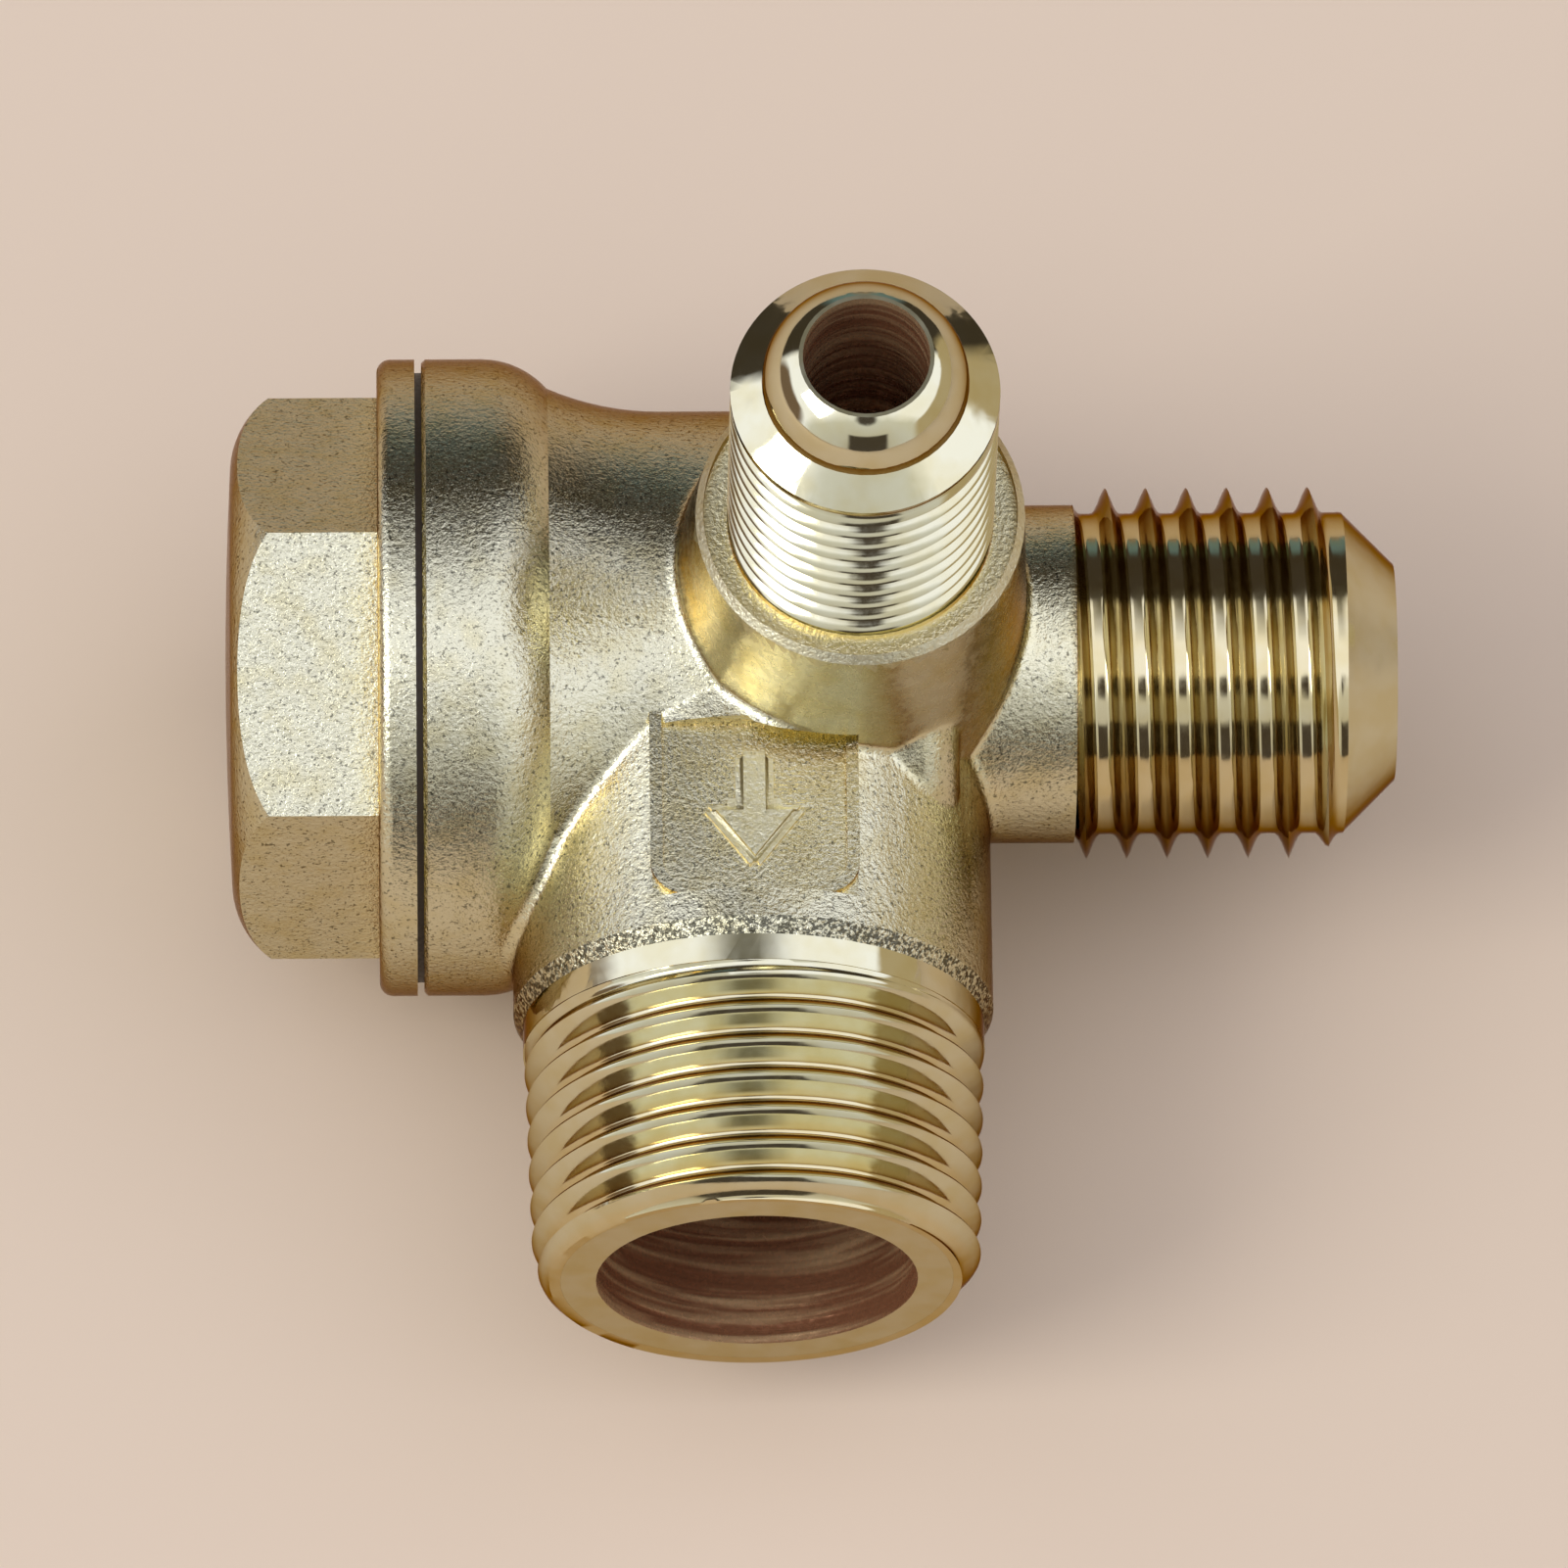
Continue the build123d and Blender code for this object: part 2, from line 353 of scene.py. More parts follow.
def blended(tree, factor, first, second, mode="MIX"):
    """Mixes two colours, each a socket or plain numbers."""
    node = tree.nodes.new("ShaderNodeMix")
    node.data_type = "RGBA"
    node.blend_type = mode
    for key, value in (("Factor", factor), ("A", first), ("B", second)):
        socket = node.inputs[key]
        if isinstance(value, bpy.types.NodeSocket):
            tree.links.new(value, socket)
        elif hasattr(value, "__len__"):
            socket.default_value = (*value, 1)
        else:
            socket.default_value = value
    return node.outputs["Result"]


def math_node(tree, operation, first, second=0.0):
    """One math operation on sockets or plain numbers."""
    node = tree.nodes.new("ShaderNodeMath")
    node.operation = operation
    for socket, value in zip(node.inputs, (first, second)):
        if isinstance(value, bpy.types.NodeSocket):
            tree.links.new(value, socket)
        else:
            socket.default_value = value
    return node.outputs[0]


def vector_node(tree, operation, first, second=None):
    """One vector operation on a socket, with plain numbers as its second vector if it takes one."""
    node = tree.nodes.new("ShaderNodeVectorMath")
    node.operation = operation
    tree.links.new(first, node.inputs[0])
    if second is not None:
        node.inputs[1].default_value = second
    return node


def between(tree, value, low, high):
    """Smooth 0 to 1 step of a value from low to high, or 1 to 0 where low is the larger."""
    node = tree.nodes.new("ShaderNodeMapRange")
    node.interpolation_type = "SMOOTHSTEP"
    tree.links.new(value, node.inputs["Value"])
    node.inputs["From Min"].default_value = min(low, high)
    node.inputs["From Max"].default_value = max(low, high)
    node.inputs["To Min"].default_value = 0.0 if low < high else 1.0
    node.inputs["To Max"].default_value = 1.0 if low < high else 0.0
    return node.outputs["Result"]


def overlap(tree, mask, *others):
    """Where all of the masks hold."""
    for other in others:
        mask = math_node(tree, "MULTIPLY", mask, other)
    return mask


def apart(tree, value, centre):
    """How far a value lies from a centre."""
    return math_node(tree, "ABSOLUTE", math_node(tree, "SUBTRACT", value, centre))


def axis_distance(tree, centre, across):
    """Distance in millimetres from a port's axis, with across as 1 on the two axes that count."""
    coord = tree.nodes.new("ShaderNodeTexCoord")
    offset = vector_node(tree, "SUBTRACT", coord.outputs["Object"], [c * MM for c in centre])
    flat = vector_node(tree, "MULTIPLY", offset.outputs[0], [c / MM for c in across])
    return vector_node(tree, "LENGTH", flat.outputs[0]).outputs["Value"]


def uneven_roughness(tree, shader, grain, low, high):
    """Roughness that wanders between two values with a noise."""
    tree.links.new(ramp(tree, grain, ((0.3, low), (0.7, high))), shader.inputs["Roughness"])


# Materials

GOLD = (0.64, 0.605, 0.415)
GOLD_DEEP = (0.61, 0.555, 0.335)
GOLD_EDGE = (0.36, 0.18, 0.07)
# Brighter, yellower gold of the painted reflection in inner corners
CORNER_REFLECTION_GOLD = (0.88, 0.79, 0.45)
# Darker, warmer tint of the painted shade in a thread's groove
GROOVE_SHADE = (1.0, 0.92, 0.8)
UNTINTED = (1, 1, 1)
# Painted shade inside the bores, and the painted glint of their tool rings
BORE_SHADE_BROWN = (0.30, 0.13, 0.06)
BORE_RING_GLINT = (0.62, 0.40, 0.20)

# Reach in millimetres and samples of the painted reflection, a brighter and yellower gold, in inner corners
CORNER_REACH = 2.5
CORNER_SAMPLES = 4

# How far below pit_share in the noise a pit's painted shade is darkest, and how far above it that shade ends
PIT_MIDDLE = 0.07
PIT_EDGE = 0.03

# A bore wall's metal share, and its tool marks a millimetre along and across the bore
BORE_METALLIC = 0.55
MARKS_ALONG = 2.2
MARKS_ACROSS = 0.12

# Each thread's centre, the two axes across it, and the radii between which the painted shade in its groove
# ends
TANK_GROOVE_SHADE = ((0, 0, 0), (1, 0, 1), 7.45, 8.1)
INLET_GROOVE_SHADE = ((0, CHAMBER_Y, 0), (0, 1, 1), 5.9, 6.6)
UNLOADER_GROOVE_SHADE = ((UNLOADER_X, CHAMBER_Y, 0), (1, 1, 0), 4.3, 4.7)


def gold_material(name):
    """Metal with the plating's edge tint."""
    material, tree, shader = node_material(name)
    shader.inputs["Metallic"].default_value = 1.0
    shader.inputs["Specular Tint"].default_value = (*GOLD_EDGE, 1)
    return material, tree, shader


def painted_corner_reflection(tree, colour):
    """Painted reflection: a brighter, yellower gold in inner corners, found by ambient occlusion."""
    occlusion = tree.nodes.new("ShaderNodeAmbientOcclusion")
    occlusion.samples = CORNER_SAMPLES
    occlusion.inputs["Distance"].default_value = CORNER_REACH * MM
    # Painted reflection: the more occluded a place is, the more it takes the brighter, yellower gold
    corner = ramp(tree, occlusion.outputs["AO"], ((0.25, 1.0), (0.8, 0.0)))
    return blended(tree, corner, colour, CORNER_REFLECTION_GOLD)


def plated_cast(name, pit_share, pit_shade_tone, depth, low, high):
    """Blasted and plated casting: matt grain with bright flecks, and dark flecks that are painted shade in
    its pits.

    More pit_share gives more pits, the tone after it is the brightness of their painted shade, depth is the
    grain's in millimetres, and low and high are the ends of the roughness.
    """
    material, tree, shader = gold_material(name)
    tone = ramp(tree, noise(tree, 0.9, detail=3.0), ((0.3, GOLD_DEEP), (0.55, GOLD)))
    # Painted reflection in inner corners
    tone = painted_corner_reflection(tree, tone)
    specks = noise(tree, 6.5, detail=2.0, roughness=0.7)
    # Painted shade in the pits: dark flecks multiplied into the colour
    pits = ramp(tree, specks, ((pit_share - PIT_MIDDLE, pit_shade_tone), (pit_share + PIT_EDGE, 1.0)))
    tree.links.new(blended(tree, 1.0, tone, pits, "MULTIPLY"), shader.inputs["Base Color"])
    uneven_roughness(tree, shader, noise(tree, 5.5, detail=3.0, roughness=0.6), low, high)
    wave = bump(tree, noise(tree, 0.5, detail=1.0), depth=0.03)
    pit = bump(tree, noise(tree, 5.5, detail=3.0, roughness=0.65), depth, after=wave)
    tree.links.new(pit, shader.inputs["Normal"])
    return material


def plated_turned(name, groove=None, low=0.07, high=0.15):
    """Machined and plated faces: bright, slightly uneven, with painted shade, darker and warmer, in a
    thread's groove if one is given, and the painted reflection in inner corners if not.
    """
    material, tree, shader = gold_material(name)
    tone = ramp(tree, noise(tree, 0.7, detail=2.0), ((0.35, GOLD_DEEP), (0.6, GOLD)))
    if groove is None:
        # Painted reflection in inner corners
        tone = painted_corner_reflection(tree, tone)
    else:
        centre, across, root, crest = groove
        place = between(tree, axis_distance(tree, centre, across), root, crest)
        # Painted shade: a darker, warmer gold towards the groove's root
        tint = ramp(tree, place, ((0.1, GROOVE_SHADE), (0.8, UNTINTED)))
        tone = blended(tree, 1.0, tone, tint, "MULTIPLY")
    tree.links.new(tone, shader.inputs["Base Color"])
    uneven_roughness(tree, shader, noise(tree, 3.0), low, high)
    tree.links.new(bump(tree, noise(tree, 0.8, detail=1.5), depth=0.015), shader.inputs["Normal"])
    return material


def plain_metal(name, colour, low, high):
    """Bare metal of the pieces inside, with the ends of its roughness."""
    material, tree, shader = node_material(name)
    shader.inputs["Metallic"].default_value = 1.0
    shader.inputs["Base Color"].default_value = (*colour, 1)
    uneven_roughness(tree, shader, noise(tree, 4.0), low, high)
    tree.links.new(bump(tree, noise(tree, 3.0), depth=0.01), shader.inputs["Normal"])
    return material


def bored(name, along):
    """Bore wall painted dark brown for the shade inside the bore, with the tool's rings bumped and painted
    brighter as a painted glint; along is (1, 0, 0) or the like.
    """
    material, tree, shader = node_material(name)
    shader.inputs["Metallic"].default_value = BORE_METALLIC
    coord = tree.nodes.new("ShaderNodeTexCoord")
    marks = [(MARKS_ALONG if a else MARKS_ACROSS) / MM for a in along]
    stretch = vector_node(tree, "MULTIPLY", coord.outputs["Object"], marks)
    rings = tree.nodes.new("ShaderNodeTexNoise")
    rings.inputs["Scale"].default_value = 1.0
    rings.inputs["Detail"].default_value = 3.0
    rings.inputs["Distortion"].default_value = 0.3
    tree.links.new(stretch.outputs[0], rings.inputs["Vector"])
    # Painted shade in the bore, dark brown, with a painted glint on the tool's rings
    tone = ramp(tree, rings.outputs["Fac"], ((0.45, BORE_SHADE_BROWN), (0.62, BORE_RING_GLINT)))
    tree.links.new(tone, shader.inputs["Base Color"])
    uneven_roughness(tree, shader, noise(tree, 4.0), 0.18, 0.35)
    cut_marks = bump(tree, rings.outputs["Fac"], depth=0.08)
    tree.links.new(bump(tree, noise(tree, 3.0), depth=0.02, after=cut_marks), shader.inputs["Normal"])
    return material


def rubber(name, colour):
    """Matt rubber of the gasket and the seal."""
    material, tree, shader = node_material(name)
    shader.inputs["Base Color"].default_value = (*colour, 1)
    uneven_roughness(tree, shader, noise(tree, 6.0), 0.45, 0.65)
    tree.links.new(bump(tree, noise(tree, 8.0), depth=0.01), shader.inputs["Normal"])
    return material


# Dark flecks in these castings are painted shade in pits; the rough band has more and darker ones, painted
# self-shadow of its rough skin
cast = plated_cast("plated_cast", pit_share=0.4, pit_shade_tone=0.35, depth=0.042, low=0.1, high=0.2)
rough_cast_painted_shade = plated_cast("rough_cast_painted_shade", pit_share=0.53, pit_shade_tone=0.2, depth=0.09, low=0.1, high=0.2)
rim_cast = plated_cast("rim_cast", pit_share=0.36, pit_shade_tone=0.7, depth=0.05, low=0.28, high=0.4)
tank_finish = plated_turned("tank_thread_plating", TANK_GROOVE_SHADE)
inlet_finish = plated_turned("inlet_thread_plating", INLET_GROOVE_SHADE)
unloader_finish = plated_turned("unloader_thread_plating", UNLOADER_GROOVE_SHADE)
inner_brass = plain_metal("inner_brass", (0.78, 0.6, 0.3), low=0.16, high=0.26)
steel = plain_metal("spring_wire_steel", (0.6, 0.59, 0.57), low=0.176, high=0.286)
gasket = rubber("gasket_brown", (0.05, 0.035, 0.025))
seal = rubber("seal_black", (0.03, 0.03, 0.032))

# Finishes of the casting's faces
FINISHES = {
    "cast": cast,
    "turned": plated_turned("plated_turned"),
    "satin": plated_turned("satin_side", low=0.2, high=0.32),
    "rough": rough_cast_painted_shade,
    "rim": rim_cast,
    "polished": plated_turned("polished", low=0.04, high=0.08),
    "tank_bore": bored("tank_bore_wall", (0, 1, 0)),
    "inlet_bore": bored("inlet_bore_wall", (1, 0, 0)),
    "unloader_bore": bored("unloader_bore_wall", (0, 0, 1)),
}


# Valve body, cut free for its threads

# Inner and outer radius of each cut, and where the tank's cut starts, clear of the end face
TANK_CUT = (7.2, 9.5)
TANK_CUT_START = -1.0
INLET_CUT = (5.75, 8.5)
UNLOADER_CUT = (4.2, 5.3)

TANK_SPAN = (TANK_END_Y, TANK_THREAD_END)
INLET_SPAN = (INLET_THREAD_START, INLET_THREAD_END)
UNLOADER_SPAN = (UNLOADER_THREAD_START, UNLOADER_THREAD_END)

tank_place = axis_matrix((0, 0, 0), (0, 1, 0))
inlet_place = axis_matrix((0, CHAMBER_Y, 0), (1, 0, 0))
unloader_place = axis_matrix((UNLOADER_X, CHAMBER_Y, 0), (0, 0, 1))


def valve_body_piece():
    """The body's copy, with its vertices joined so that it can be cut."""
    piece = own_copy("valve_body", "valve_casting")
    bm = bmesh.new()
    bm.from_mesh(piece.data)
    bmesh.ops.remove_doubles(bm, verts=bm.verts, dist=CAD_JOIN_GAP)
    bm.to_mesh(piece.data)
    bm.free()
    return piece


casting = valve_body_piece()
cut(casting, ring_cutter(tank_place, (TANK_CUT_START, TANK_THREAD_END), TANK_CUT))
cut(casting, ring_cutter(inlet_place, INLET_SPAN, INLET_CUT))
cut(casting, ring_cutter(unloader_place, UNLOADER_SPAN, UNLOADER_CUT))
shade_by_angle(casting, CAST_SHARP)


# Threads of the three ports

# The tank sleeve's core lies just inside its cut, because both end in the port's face
TANK_PITCH = INCH / 19
TANK_CREST = 8.33
TANK_DEPTH = 0.78
TANK_CORE = 7.195
TANK_TAPER = 1 / 32
TANK_CHAMFER = 0.63
TANK_RUN_OUT = 0.9
TANK_FORM = (0.12, 0.1, 1.0)
TANK_PHASE = 0.2

INLET_PITCH = 1.5
INLET_CREST = 6.88
INLET_DEPTH = 0.93
INLET_CORE = 5.5
INLET_FORM = (0.3, 0.06, 1.7)

# The unloader's groove starts to run out this far before its end, over the length below
UNLOADER_PITCH = 1.0
UNLOADER_CREST = 4.88
UNLOADER_DEPTH = 0.6
UNLOADER_CORE = 4.0
UNLOADER_RUN_OUT_FROM = 1.2
UNLOADER_RUN_OUT = 1.0
UNLOADER_FORM = (0.2, 0.1, 1.2)


def tank_limit(s):
    """Taper thread: its groove runs out to the land, and its end has a chamfer."""
    taper = (s - TANK_THREAD_END * 0.5) * TANK_TAPER
    crest = min(TANK_CREST + taper, TANK_CREST - TANK_CHAMFER + s)
    groove = min(crest, TANK_CREST - TANK_DEPTH + taper)
    run_out = clamped((s - TANK_THREAD_END + TANK_RUN_OUT) / TANK_RUN_OUT)
    return groove + (crest - groove) * run_out**2, crest


def inlet_limit(s):
    """Straight thread that ends in the nose's chamfer."""
    crest = min(INLET_CREST, INLET_CREST - (s - (INLET_END_X - INLET_NOSE_CHAMFER)))
    groove = min(INLET_CREST - INLET_DEPTH, crest)
    return groove, crest


def unloader_limit(s):
    """Straight thread whose groove runs out below the spigot's head."""
    run_out = clamped((s - UNLOADER_THREAD_END + UNLOADER_RUN_OUT_FROM) / UNLOADER_RUN_OUT)
    groove = UNLOADER_CREST - UNLOADER_DEPTH * (1 - run_out)
    return groove, UNLOADER_CREST


threaded_sleeve(
    "tank_thread", tank_place, TANK_SPAN, TANK_PITCH, TANK_CORE,
    tank_limit, TANK_FORM, TANK_PHASE, tank_finish,
)
threaded_sleeve(
    "inlet_thread", inlet_place, INLET_SPAN, INLET_PITCH, INLET_CORE,
    inlet_limit, INLET_FORM, 0.0, inlet_finish,
)
threaded_sleeve(
    "unloader_thread", unloader_place, UNLOADER_SPAN, UNLOADER_PITCH, UNLOADER_CORE,
    unloader_limit, UNLOADER_FORM, 0.0, unloader_finish,
)


# Finishes of the casting, face by face

# The boss leans and narrows from its root to its rim; a face this near its side is satin
BOSS_ROOT_X = 2.95
BOSS_ROOT_RADIUS = 7.4
BOSS_RADIUS = 6.02
BOSS_SIDE_FOOT = 2
BOSS_SIDE_HEIGHT = 13.8
BOSS_SIDE_GAP = 0.06

# Places and radii that bound the other finishes, just outside the faces that they take in, and how
# squarely the collar's face looks along X
LAND_END_Y = 10.15
ROUGH_END_Y = 10.65
TANK_NECK_RADIUS = 9
INLET_LAND_X = 11.95
INLET_LAND_RADIUS = 7.2
RIM_FOOT_Z = 13.5
RIM_RADIUS = 6.05
SPIGOT_RADIUS = 4.95
TANK_BORE_END_Y = 18.2
TANK_BORE_RADIUS = 5.95
UNLOADER_BORE_END_Z = 8.9
UNLOADER_BORE_RADIUS = 2.33
INLET_BORE_END_X = 0.5
INLET_BORE_RADIUS = 3.3
COLLAR_FACE_X = -11.5
COLLAR_FACE_RADIUS = 11.75
FACING_X = 0.9


def on_boss_side(x, y, z):
    """Whether a place lies on the leaning side of the unloader boss."""
    share = clamped(z / BOSS_SIDE_HEIGHT)
    side_x = BOSS_ROOT_X + (UNLOADER_X - BOSS_ROOT_X) * share
    side_radius = BOSS_ROOT_RADIUS + (BOSS_RADIUS - BOSS_ROOT_RADIUS) * share
    off_side = abs(math.hypot(x - side_x, y - CHAMBER_Y) - side_radius)
    return BOSS_SIDE_FOOT < z < BOSS_SIDE_HEIGHT and off_side < BOSS_SIDE_GAP


def finish_of(face):
    """Name of a face's finish: cast skin, turned face or bore with painted shade."""
    x, y, z = (c / MM for c in face.center)
    tank_r = math.hypot(x, z)
    chamber_r = math.hypot(y - CHAMBER_Y, z)
    unloader_r = math.hypot(x - UNLOADER_X, y - CHAMBER_Y)
    if x < COLLAR_FACE_X and chamber_r < COLLAR_FACE_RADIUS and abs(face.normal.x) > FACING_X:
        return "turned"
    if x > INLET_BORE_END_X and chamber_r < INLET_BORE_RADIUS:
        return "inlet_bore"
    if z > UNLOADER_BORE_END_Z and unloader_r < UNLOADER_BORE_RADIUS:
        return "unloader_bore"
    if y < TANK_BORE_END_Y and tank_r < TANK_BORE_RADIUS:
        return "tank_bore"
    if z > RIM_FOOT_Z and unloader_r < RIM_RADIUS:
        return "polished" if unloader_r < SPIGOT_RADIUS else "rim"
    if x > INLET_LAND_X and chamber_r < INLET_LAND_RADIUS:
        return "polished"
    if y < ROUGH_END_Y and tank_r < TANK_NECK_RADIUS:
        return "rough" if y > LAND_END_Y else "polished"
    if on_boss_side(x, y, z):
        return "satin"
    return "cast"


def paint_casting(piece):
    """Gives each face of the casting its finish."""
    mesh = piece.data
    mesh.materials.clear()
    for material in FINISHES.values():
        mesh.materials.append(material)
    names = list(FINISHES)
    for face in mesh.polygons:
        face.material_index = names.index(finish_of(face))


paint_casting(casting)


# Screw cap, gasket, poppet and seal

def screw_cap():
    """The cap, with its vertices joined so that the middle of its crown shades evenly."""
    piece = own_copy("end_cap", "screw_cap")
    join_vertices(piece.data)
    wear(piece, cast)


screw_cap()

wear(frame["nodes"]["cap_gasket"], gasket)
wear(frame["nodes"]["poppet"], inner_brass)
wear(frame["nodes"]["poppet_seal"], seal)


# Plain flow arrow, raised on the flat panel

ARROW_OUTLINE = (
    (-0.7, 17.6), (-0.7, 15.4), (-2.0, 15.4), (0.0, 12.8), (2.0, 15.4), (0.7, 15.4), (0.7, 17.6),
)
ARROW_FOOT = 0.1
ARROW_RISE = 0.4
ARROW_EDGE = 0.3
ARROW_EDGE_STEPS = 3


def flow_arrow():
    """The arrow with its foot sunk in the panel and its edges rounded like a cast mark."""
    bm = bmesh.new()
    face = bm.faces.new([bm.verts.new((x, y, PANEL_Z - ARROW_FOOT)) for x, y in ARROW_OUTLINE])
    grown = bmesh.ops.extrude_face_region(bm, geom=[face])["geom"]
    top = [v for v in grown if isinstance(v, bmesh.types.BMVert)]
    bmesh.ops.translate(bm, verts=top, vec=(0, 0, ARROW_FOOT + ARROW_RISE))
    bmesh.ops.recalc_face_normals(bm, faces=bm.faces)
    rim = [e for e in bm.edges if all(v in top for v in e.verts)]
    upright = [e for e in bm.edges if abs(e.verts[0].co.z - e.verts[1].co.z) > ARROW_RISE]
    bmesh.ops.bevel(
        bm, geom=rim + upright, offset=ARROW_EDGE, segments=ARROW_EDGE_STEPS, affect="EDGES"
    )
    bm.transform(Matrix.Scale(MM, 4))
    piece = add_object("flow_arrow", bm)
    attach(piece, "housing")
    shade_by_angle(piece, ARROW_SHARP)
    piece.data.materials.append(rim_cast)


flow_arrow()


# Return spring

def return_spring():
    """The spring's copy on the housing, in steel, with a mesh of its own."""
    piece = own_copy("spring", "return_spring")
    wear(piece, steel)
    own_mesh(piece)


return_spring()


# Camera at the photograph's angle

CAMERA_RIGHT = Vector((0.99982617, -0.01267908, 0.01367003))
CAMERA_UP = Vector((0.00581708, 0.90871378, 0.41737924))
CAMERA_BACK = Vector((-0.01771413, -0.41722717, 0.90862957))
CAMERA_PLACE = Vector((-12.8947, -337.4414 + CHAMBER_Y, 725.2481))
PHOTO_SIDE = 1601
FOCAL_PIXELS = 22024.66
SENSOR = 36.0
CLIP_START = 0.01
CLIP_END = 50

camera_data = bpy.data.cameras.new("camera")
camera_data.sensor_width = SENSOR
camera_data.lens = FOCAL_PIXELS / PHOTO_SIDE * SENSOR
camera_data.clip_start = CLIP_START
camera_data.clip_end = CLIP_END
camera = bpy.data.objects.new("camera", camera_data)
columns = Matrix((CAMERA_RIGHT, CAMERA_UP, CAMERA_BACK)).transposed()
camera.matrix_world = Matrix.Translation(CAMERA_PLACE * MM) @ columns.to_4x4()
bpy.context.scene.collection.objects.link(camera)
bpy.context.scene.camera = camera


# Floor

FLOOR_PALE = (0.64, 0.51, 0.375)
FLOOR_ROUGHNESS = 0.9

# Radii and rise of the flat floor and of the sweep that ends it
FLOOR_FLAT = 1.8
SWEEP_REACH = 2.2
SWEEP_RISE = 0.04
SWEEP_STEPS = 12


def make_floor():
    """A round floor that curves up at its far edge, so that low views end on it too."""
    bm = bmesh.new()
    middle = bm.verts.new((0, 0, cad_low.z))
    rings = []
    for step in range(SWEEP_STEPS + 1):
        share = step / SWEEP_STEPS
        radius = FLOOR_FLAT + (SWEEP_REACH - FLOOR_FLAT) * share
        rings.append(add_circle(bm, radius, cad_low.z + SWEEP_RISE * share**2))
    for k in range(AROUND):
        bm.faces.new((middle, rings[0][k], rings[0][(k + 1) % AROUND]))
    for low, high in zip(rings, rings[1:]):
        add_band(bm, high, low)
    floor = add_object("floor", bm)
    floor.data.shade_smooth()
    material, _, shader = node_material("floor")
    shader.inputs["Base Color"].default_value = (*FLOOR_PALE, 1)
    shader.inputs["Roughness"].default_value = FLOOR_ROUGHNESS
    shader.inputs["Specular IOR Level"].default_value = 0.0
    floor.data.materials.append(material)


make_floor()


# Room that lights the valve and mirrors in it

SKY = (0.98, 1.02, 1.24)
DARK = (0.045, 0.037, 0.03)
WALL_BROWN = (0.42, 0.35, 0.24)
LEFT_BROWN = (0.16, 0.11, 0.08)
FIGURE_DARK = (0.06, 0.05, 0.045)
ROOM_STRENGTH = 1.4

# Colours by depth, from 0 in front to 1 behind: at the horizon behind, in the room, and overhead
HORIZON_STOPS = (
    (0.965, DARK),
    (0.985, (0.11, 0.18, 0.23)),
    (0.996, (0.13, 0.20, 0.24)),
    (0.9995, (0.24, 0.19, 0.15)),
)
ROOM_STOPS = (
    (0.0, (0.40, 0.37, 0.34)),
    (0.06, (0.52, 0.52, 0.54)),
    (0.2, (0.62, 0.64, 0.70)),
    (0.27, SKY),
    (0.72, SKY),
    (0.76, DARK),
    *HORIZON_STOPS,
)
OVERHEAD_STOPS = (
    (0.475, SKY),
    (0.535, (0.73, 0.76, 0.90)),
    (0.585, (0.56, 0.58, 0.68)),
    (0.63, (0.42, 0.43, 0.49)),
    (0.705, (0.17, 0.165, 0.16)),
    (0.765, (0.07, 0.065, 0.06)),
    (0.82, DARK),
    *HORIZON_STOPS,
)

# Waves in the borders between the colours, which die out towards the horizon behind
WAVES = 3.0
WAVE_HEIGHT = 0.08
WAVE_END = (0.8, 0.6)

# Limits of the room's parts in a direction's coordinates: where a part starts, and where it is full
OVERHEAD_CENTRE = -0.06
OVERHEAD_SIDE = (0.42, 0.03)
OVERHEAD_DEPTH = (-0.15, -0.05)
RIGHT_SIDE = (0.68, 0.78)
RIGHT_HEIGHT = (0.42, 0.36)
LEFT_SIDE = (-0.86, -0.93)
LEFT_HEIGHT = (0.4, 0.3)
FIGURE_CENTRE = 0.02
FIGURE_SIDE = (0.34, 0.26)
FIGURE_HEIGHT = (0.5, 0.44)
FIGURE_DEPTH = (-0.5, -0.6)
SPOT_DIRECTION = (0.0, -0.57, 0.82)
SPOT_REACH = (0.18, 0.08)


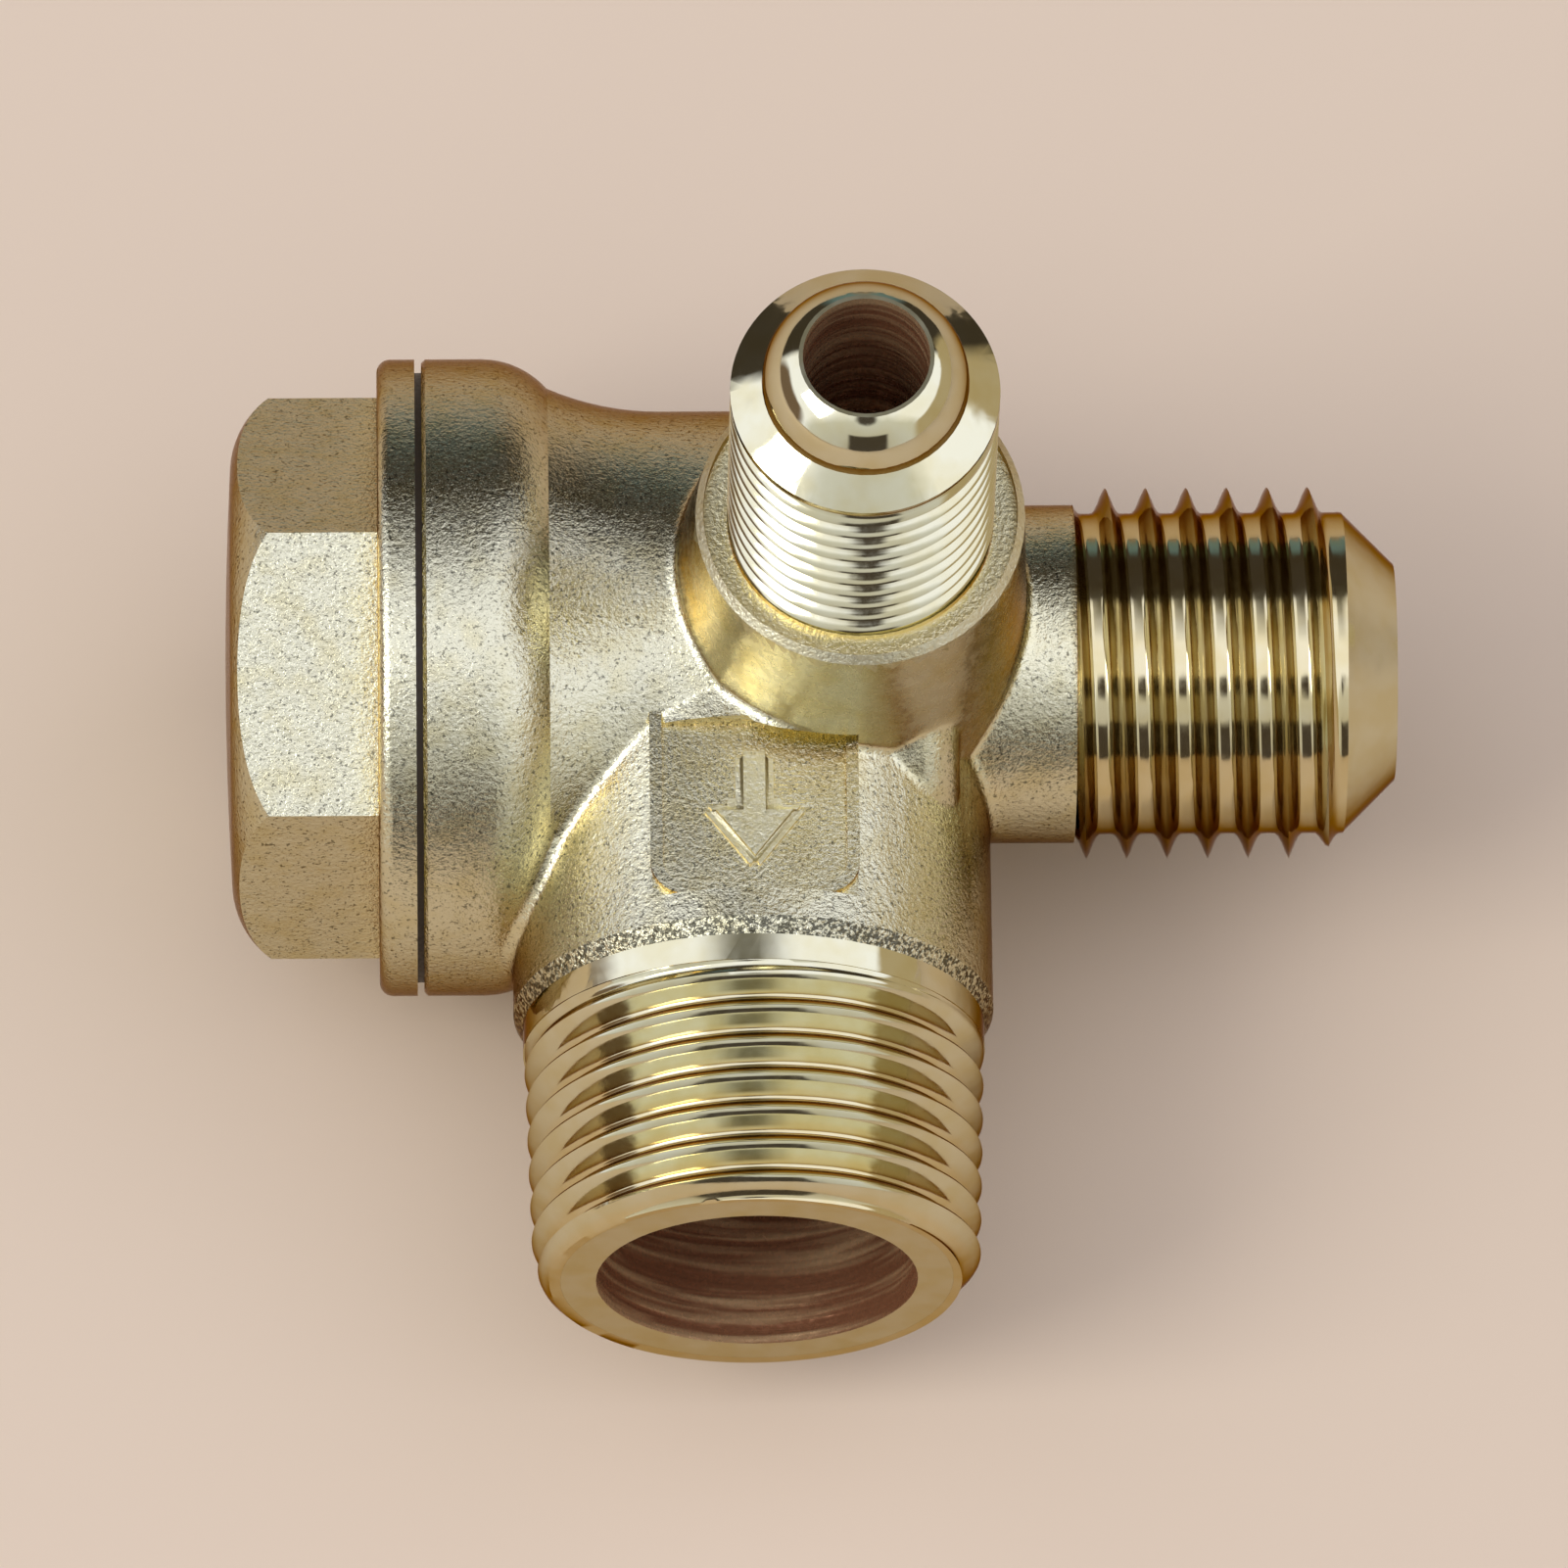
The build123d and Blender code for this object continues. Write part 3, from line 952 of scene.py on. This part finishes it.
def make_world():
    """A room of soft colours by direction, bright overhead and dark behind, with a few dark things in it."""
    world = bpy.data.worlds.new("studio")
    bpy.context.scene.world = world
    world.use_nodes = True
    tree = world.node_tree
    direction = tree.nodes.new("ShaderNodeTexCoord").outputs["Generated"]
    parts = tree.nodes.new("ShaderNodeSeparateXYZ")
    tree.links.new(direction, parts.inputs["Vector"])
    side, depth, height = parts.outputs["X"], parts.outputs["Y"], parts.outputs["Z"]

    waves = tree.nodes.new("ShaderNodeTexNoise")
    waves.inputs["Scale"].default_value = WAVES
    tree.links.new(direction, waves.inputs["Vector"])
    drift = math_node(tree, "SUBTRACT", waves.outputs["Fac"], 0.5)
    drift = math_node(tree, "MULTIPLY", drift, WAVE_HEIGHT)
    drift = math_node(tree, "MULTIPLY", drift, between(tree, depth, *WAVE_END))
    wavy_depth = math_node(tree, "ADD", depth, drift)
    share = math_node(tree, "MULTIPLY", math_node(tree, "ADD", wavy_depth, 1.0), 0.5)

    overhead = overlap(
        tree,
        between(tree, apart(tree, side, OVERHEAD_CENTRE), *OVERHEAD_SIDE),
        between(tree, depth, *OVERHEAD_DEPTH),
    )
    right = overlap(tree, between(tree, side, *RIGHT_SIDE), between(tree, height, *RIGHT_HEIGHT))
    left = overlap(tree, between(tree, side, *LEFT_SIDE), between(tree, height, *LEFT_HEIGHT))
    figure = overlap(
        tree,
        between(tree, apart(tree, side, FIGURE_CENTRE), *FIGURE_SIDE),
        between(tree, height, *FIGURE_HEIGHT),
        between(tree, depth, *FIGURE_DEPTH),
    )
    from_spot = vector_node(tree, "DISTANCE", direction, SPOT_DIRECTION)
    spot = between(tree, from_spot.outputs["Value"], *SPOT_REACH)

    room = blended(tree, overhead, ramp(tree, share, ROOM_STOPS), ramp(tree, share, OVERHEAD_STOPS))
    for mask, colour in (
        (right, WALL_BROWN), (left, LEFT_BROWN), (figure, FIGURE_DARK), (spot, FIGURE_DARK),
    ):
        room = blended(tree, mask, room, colour)
    background = tree.nodes["Background"]
    tree.links.new(room, background.inputs["Color"])
    background.inputs["Strength"].default_value = ROOM_STRENGTH


make_world()


# Soft lamp from the left

LAMP_PLACE = Vector((-0.72, -0.28, 0.8))
LAMP_TARGET = Vector((0, 0.02, 0))
LAMP_SIDE = 0.5
LAMP_WATTS = 4.5

lamp_data = bpy.data.lights.new("softbox", "AREA")
lamp_data.shape = "SQUARE"
lamp_data.size = LAMP_SIDE
lamp_data.energy = LAMP_WATTS
lamp = bpy.data.objects.new("softbox", lamp_data)
lamp.location = LAMP_PLACE
lamp.rotation_mode = "QUATERNION"
lamp.rotation_quaternion = (LAMP_TARGET - LAMP_PLACE).to_track_quat("-Z", "Y")
bpy.context.scene.collection.objects.link(lamp)

bpy.context.scene.view_settings.view_transform = "Standard"
